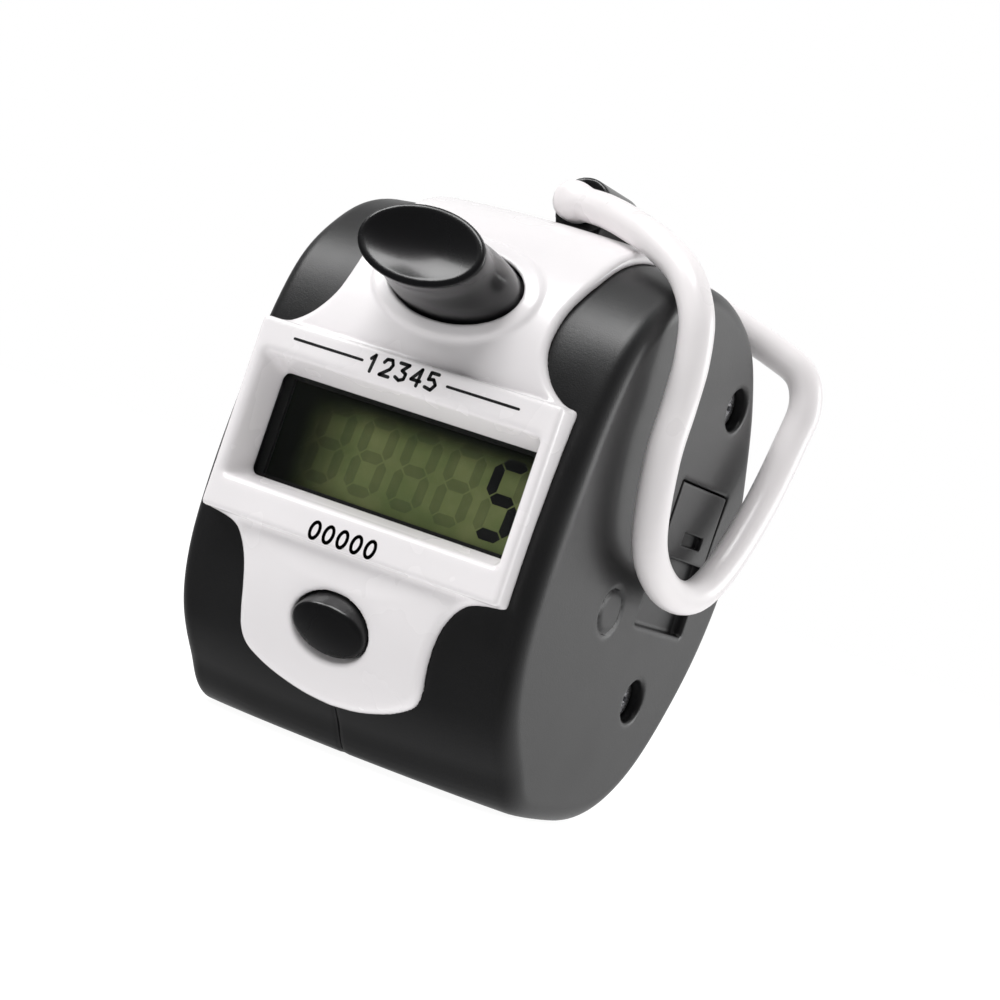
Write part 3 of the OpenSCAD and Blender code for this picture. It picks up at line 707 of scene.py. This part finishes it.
def numerals(text, centre_x, low_z, width, height, pitch, line):
    """Bars of a row of numerals about a centre line that lean a little to the right."""
    bars = []
    for i, name in enumerate(text):
        left = centre_x + (i - (len(text) - 1) / 2) * pitch - width / 2
        at = [(left + width * u + 0.12 * height * v, low_z + height * v) for u, v in NUMERALS[name]]
        bars += [stroke(a, b, line) for a, b in zip(at[:-1], at[1:])]
    return bars


def printed_marks():
    """A row of numerals between two rules over the display, and a row of noughts under it."""
    upper = 38.2
    marks = [stroke((side * 5.0, upper), (side * 13.2, upper), 0.28) for side in (-1, 1)]
    return (marks + numerals("12345", -0.4, upper - 0.85, 1.05, 1.7, 1.75, 0.36)
            + numerals("00000", -0.7, 19.95, 1.0, 1.7, 1.65, 0.36))


flat_shapes("printed_marks", printed_marks(), BEZEL_Y - 0.012, BEZEL_Y + 0.1, INK)

DIGIT_W, DIGIT_H, DIGIT_PITCH, SLANT = 4.2, 8.4, 5.15, math.tan(math.radians(4))
DIGIT_LINE = 1.15
LAST_DIGIT_X = 11.7
DIGIT_Z = 29.4
# Each segment's ends in half widths and half heights of the digit
SEGMENTS = {"a": ((-1, 1), (1, 1)), "b": ((1, 1), (1, 0)), "c": ((1, 0), (1, -1)), "d": ((-1, -1), (1, -1)),
            "e": ((-1, 0), (-1, -1)), "f": ((-1, 1), (-1, 0)), "g": ((-1, 0), (1, 0))}


def segment(centre_x, ends):
    """Pointed bar of a seven-segment digit, slanted to the right."""
    reach = np.array([DIGIT_W - DIGIT_LINE, DIGIT_H - DIGIT_LINE]) / 2
    a, b = (np.array(e) * reach for e in ends)
    along = (b - a) / np.linalg.norm(b - a)
    side = np.array([-along[1], along[0]]) * DIGIT_LINE / 2
    tip, shoulder = 0.14, DIGIT_LINE / 2 + 0.1
    corners = [a + along * tip, a + along * shoulder - side, b - along * shoulder - side,
               b - along * tip, b - along * shoulder + side, a + along * shoulder + side]
    return [(centre_x + p[0] + SLANT * p[1], DIGIT_Z + p[1]) for p in corners]


def digit(place, names):
    return [segment(LAST_DIGIT_X - place * DIGIT_PITCH, SEGMENTS[n]) for n in names]


lcd_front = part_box("lcd_panel")[0].y / MM
flat_shapes("lit_segments", digit(0, "afgcd"), lcd_front - 0.03, lcd_front + 0.05, SEGMENT_DARK)
ghosts = digit(0, "be") + [s for place in (1, 2, 3, 4) for s in digit(place, "abcdefg")]
flat_shapes("unlit_segments", ghosts, lcd_front - 0.015, lcd_front + 0.05, SEGMENT_FAINT)


# ---------------------------------------------------------------- springs and domes, and CAD nodes that stay

def pressed_copy(node):
    """Copy of a CAD node with its slot's material, shown in place of the hidden node."""
    source = frame["nodes"][node]
    piece = bpy.data.objects.new(node + "_flexing", source.data.copy())
    bpy.context.scene.collection.objects.link(piece)
    piece.data.materials.clear()
    slot = SLOTS[node]
    piece.data.materials.append(MATERIALS[slot])
    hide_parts(node)
    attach(piece, "case")
    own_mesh(piece)


SLOTS = {part["node"]: part["material_slot"] for part in frame["record"]["subparts"]}
REPLACED = {"right_shell", "left_shell", "face_plate", "count_button", "reset_button", "finger_ring",
            "ring_pivot_block", "battery_door", "count_spring", "count_dome", "reset_dome"}


for node, joint, at, lean, board, keep in (
        ("count_spring", "count_press", COUNT_AT, COUNT_LEAN, COUNT_BOARD, 0.66),
        ("count_dome", "count_press", COUNT_AT, COUNT_LEAN, COUNT_BOARD, 0.5),
        ("reset_dome", "reset_press", RESET_AT, RESET_LEAN, RESET_BOARD, 0.72)):
    pressed_copy(node)

for name, obj in frame["nodes"].items():
    if name not in REPLACED:
        obj.data.materials.clear()
        obj.data.materials.append(MATERIALS[SLOTS[name]])


# ---------------------------------------------------------------- stage, light and camera

def stage_floor():
    """White ground that reaches far behind the object, just under its base."""
    half = 6.0
    bpy.ops.mesh.primitive_plane_add(size=2 * half, location=(0, 0, -0.0002))
    floor = bpy.context.object
    floor.name = "floor"
    material, nodes, links, shader = new_material("white_floor")
    links.new(ramp(nodes, links, noise(nodes, links, 300), (0.19, 0.19, 0.19), (0.22, 0.22, 0.22)),
              shader.inputs["Base Color"])
    shader.inputs["Roughness"].default_value = 0.9
    shader.inputs["Specular IOR Level"].default_value = 0.0
    shader.inputs["Emission Color"].default_value = (1, 1, 1, 1)
    shader.inputs["Emission Strength"].default_value = 0.95
    floor.data.materials.append(material)
    floor.visible_glossy = False   # the glossy black plastic must not mirror it


def studio_world():
    """White all round for the camera, and brighter behind the object than in front of it."""
    world = bpy.data.worlds.new("studio")
    bpy.context.scene.world = world
    world.use_nodes = True
    nodes, links = world.node_tree.nodes, world.node_tree.links
    back = nodes["Background"]
    back.inputs["Color"].default_value = (1, 1, 1, 1)
    coords = nodes.new("ShaderNodeTexCoord")
    direction = nodes.new("ShaderNodeVectorMath")
    direction.operation = "DOT_PRODUCT"
    direction.inputs[1].default_value = Vector((0.3, 0.95, 0)).normalized()
    links.new(coords.outputs["Generated"], direction.inputs[0])
    fade = nodes.new("ShaderNodeMapRange")
    fade.interpolation_type = "SMOOTHSTEP"
    fade.inputs["From Min"].default_value = -0.4
    fade.inputs["From Max"].default_value = 0.95
    fade.inputs["To Min"].default_value = 0.06
    fade.inputs["To Max"].default_value = 0.85
    links.new(direction.outputs["Value"], fade.inputs["Value"])
    path = nodes.new("ShaderNodeLightPath")
    seen = nodes.new("ShaderNodeMix")
    seen.inputs["B"].default_value = 1.0
    links.new(path.outputs["Is Camera Ray"], seen.inputs["Factor"])
    links.new(fade.outputs["Result"], seen.inputs["A"])
    links.new(seen.outputs["Result"], back.inputs["Strength"])


def soft_light(name, place, aim, size, power):
    light = bpy.data.lights.new(name, "AREA")
    light.shape = "RECTANGLE"
    light.size, light.size_y = size
    light.energy = power
    obj = bpy.data.objects.new(name, light)
    obj.location = place
    obj.rotation_euler = (Vector(aim) - Vector(place)).to_track_quat("-Z", "Y").to_euler()
    bpy.context.scene.collection.objects.link(obj)


def photo_camera():
    """Camera at the front right, level with the casing's middle and rolled, so that the counter leans."""
    azimuth, elevation, roll = math.radians(27.0), math.radians(-0.46), math.radians(18.7)
    distance = 0.3
    target = Vector((0, 0, 0.030))
    away = Vector((math.sin(azimuth) * math.cos(elevation), -math.cos(azimuth) * math.cos(elevation),
                   math.sin(elevation)))
    right = Vector((math.cos(azimuth), math.sin(azimuth), 0))
    up = away.cross(right)
    rolled_right = math.cos(roll) * right + math.sin(roll) * up
    rolled_up = math.cos(roll) * up - math.sin(roll) * right
    place = target + distance * away + 0.00279 * rolled_right - 0.00137 * rolled_up
    data = bpy.data.cameras.new("photo_camera")
    data.sensor_width = 36
    data.lens = 103.3
    data.clip_start = 0.01
    camera = bpy.data.objects.new("photo_camera", data)
    axes = Matrix((rolled_right, rolled_up, away)).transposed()
    camera.matrix_world = Matrix.Translation(place) @ axes.to_4x4()
    bpy.context.scene.collection.objects.link(camera)
    bpy.context.scene.camera = camera


stage_floor()
studio_world()
soft_light("key", (-0.12, -0.4, 0.95), (0, 0, 0.03), (0.6, 0.5), 8)
soft_light("fill", (-0.65, -0.35, 0.7), (0, 0, 0.03), (0.5, 0.4), 4.5)
soft_light("rim", (0.75, 0.65, 0.3), (0, 0, 0.03), (0.6, 0.5), 3.6)
photo_camera()
bpy.context.scene.view_settings.view_transform = "Standard"
